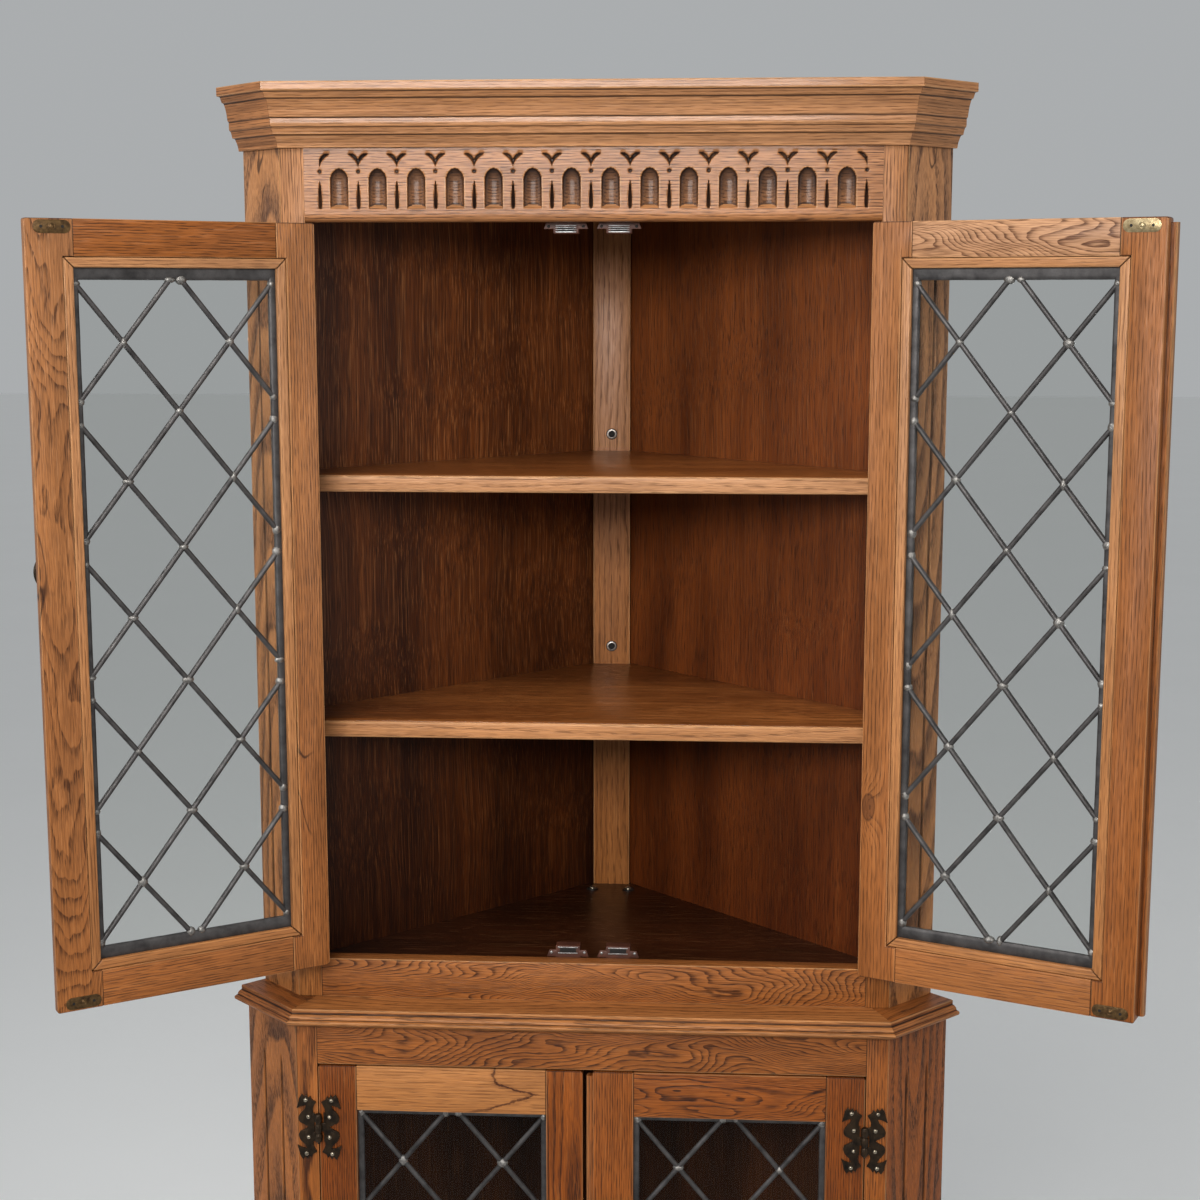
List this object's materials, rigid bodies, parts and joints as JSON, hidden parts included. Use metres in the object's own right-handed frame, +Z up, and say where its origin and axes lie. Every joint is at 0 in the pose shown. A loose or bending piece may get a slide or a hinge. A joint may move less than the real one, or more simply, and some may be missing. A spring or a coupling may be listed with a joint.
{
  "type": "corner cupboard",
  "caption": "Tall corner cupboard with canted sides, carved frieze and moulded cornice, shelves behind leaded glass doors, and a lower case with leaded doors.",
  "frame": {"origin": "on the floor, under the front face of the lower case, on the centre line", "axes": "+Z up, +Y towards the corner of the room, +X to the right seen from the front"},
  "size_m": [1.1246, 0.605, 1.819],
  "materials": {
    "oak": "satin lacquered oak",
    "panel": "dark stained oak veneered board",
    "glass": "clear",
    "lead": "dull grey lead with soldered joints",
    "bronze": "black bronze lacquer",
    "catch": "brown plastic with steel plates"
  },
  "bodies": {
    "case": {"cornice": "oak", "frieze_board": "oak", "upper_left_post": "oak", "upper_right_post": "oak", "upper_back_post": "oak", "upper_bottom_rail": "oak", "upper_bottom_board": "oak", "shelf_low": "oak", "shelf_high": "oak", "upper_top_board": "oak", "waist_board": "oak", "lower_left_post": "oak", "lower_right_post": "oak", "lower_back_post": "oak", "lower_bottom_rail": "oak", "lower_top_rail": "oak", "plinth": "oak", "upper_left_panel": "panel", "upper_right_panel": "panel", "lower_left_panel": "panel", "lower_right_panel": "panel", "lower_bottom_board": "panel", "bottom_catches": "catch", "top_catches": "catch", "upper_left_door_hinge_low_jamb": "bronze", "upper_left_door_hinge_high_jamb": "bronze", "upper_right_door_hinge_low_jamb": "bronze", "upper_right_door_hinge_high_jamb": "bronze", "lower_left_door_hinge_low_jamb": "bronze", "lower_left_door_hinge_high_jamb": "bronze", "lower_right_door_hinge_low_jamb": "bronze", "lower_right_door_hinge_high_jamb": "bronze"},
    "upper_left_door": {"upper_left_door_frame": "oak", "upper_left_door_glass": "glass", "upper_left_door_leads": "lead", "upper_left_door_hinge_low_leaf": "bronze", "upper_left_door_hinge_high_leaf": "bronze", "upper_left_door_pull_plate": "bronze"},
    "upper_left_door_ring": {"upper_left_door_pull_ring": "bronze"},
    "upper_right_door": {"upper_right_door_frame": "oak", "upper_right_door_glass": "glass", "upper_right_door_leads": "lead", "upper_right_door_hinge_low_leaf": "bronze", "upper_right_door_hinge_high_leaf": "bronze", "upper_right_door_pull_plate": "bronze"},
    "upper_right_door_ring": {"upper_right_door_pull_ring": "bronze"},
    "lower_left_door": {"lower_left_door_frame": "oak", "lower_left_door_glass": "glass", "lower_left_door_leads": "lead", "lower_left_door_hinge_low_leaf": "bronze", "lower_left_door_hinge_high_leaf": "bronze", "lower_left_door_pull_plate": "bronze"},
    "lower_left_door_ring": {"lower_left_door_pull_ring": "bronze"},
    "lower_right_door": {"lower_right_door_frame": "oak", "lower_right_door_glass": "glass", "lower_right_door_leads": "lead", "lower_right_door_hinge_low_leaf": "bronze", "lower_right_door_hinge_high_leaf": "bronze", "lower_right_door_pull_plate": "bronze"},
    "lower_right_door_ring": {"lower_right_door_pull_ring": "bronze"}
  },
  "joints": [
    {"name": "upper_left_door_hinge", "type": "hinge", "parent": "case", "child": "upper_left_door", "pos_m": [-0.3, 0.0304, 1.276], "axis": [0, 0, -1], "range_deg": [-146, 14]},
    {"name": "upper_left_door_ring_swing", "type": "hinge", "parent": "upper_left_door", "child": "upper_left_door_ring", "pos_m": [-0.53226, -0.11167, 1.357], "axis": [0.829, 0.5592, 0], "range_deg": [-14, 95]},
    {"name": "upper_right_door_hinge", "type": "hinge", "parent": "case", "child": "upper_right_door", "pos_m": [0.3, 0.0304, 1.276], "axis": [0, 0, 1], "range_deg": [-155, 5]},
    {"name": "upper_right_door_ring_swing", "type": "hinge", "parent": "upper_right_door", "child": "upper_right_door_ring", "pos_m": [0.55163, -0.07359, 1.357], "axis": [0.9063, -0.4226, 0], "range_deg": [-14, 95]},
    {"name": "lower_left_door_hinge", "type": "hinge", "parent": "case", "child": "lower_left_door", "pos_m": [-0.3, -0.0046, 0.4505], "axis": [0, 0, -1], "range_deg": [0, 160]},
    {"name": "lower_left_door_ring_swing", "type": "hinge", "parent": "lower_left_door", "child": "lower_left_door_ring", "pos_m": [-0.028, -0.0167, 0.5315], "axis": [-1, 0, 0], "range_deg": [-14, 95]},
    {"name": "lower_right_door_hinge", "type": "hinge", "parent": "case", "child": "lower_right_door", "pos_m": [0.3, -0.0046, 0.4505], "axis": [0, 0, 1], "range_deg": [0, 160]},
    {"name": "lower_right_door_ring_swing", "type": "hinge", "parent": "lower_right_door", "child": "lower_right_door_ring", "pos_m": [0.028, -0.0167, 0.5315], "axis": [-1, 0, 0], "range_deg": [-14, 95]}
  ]
}
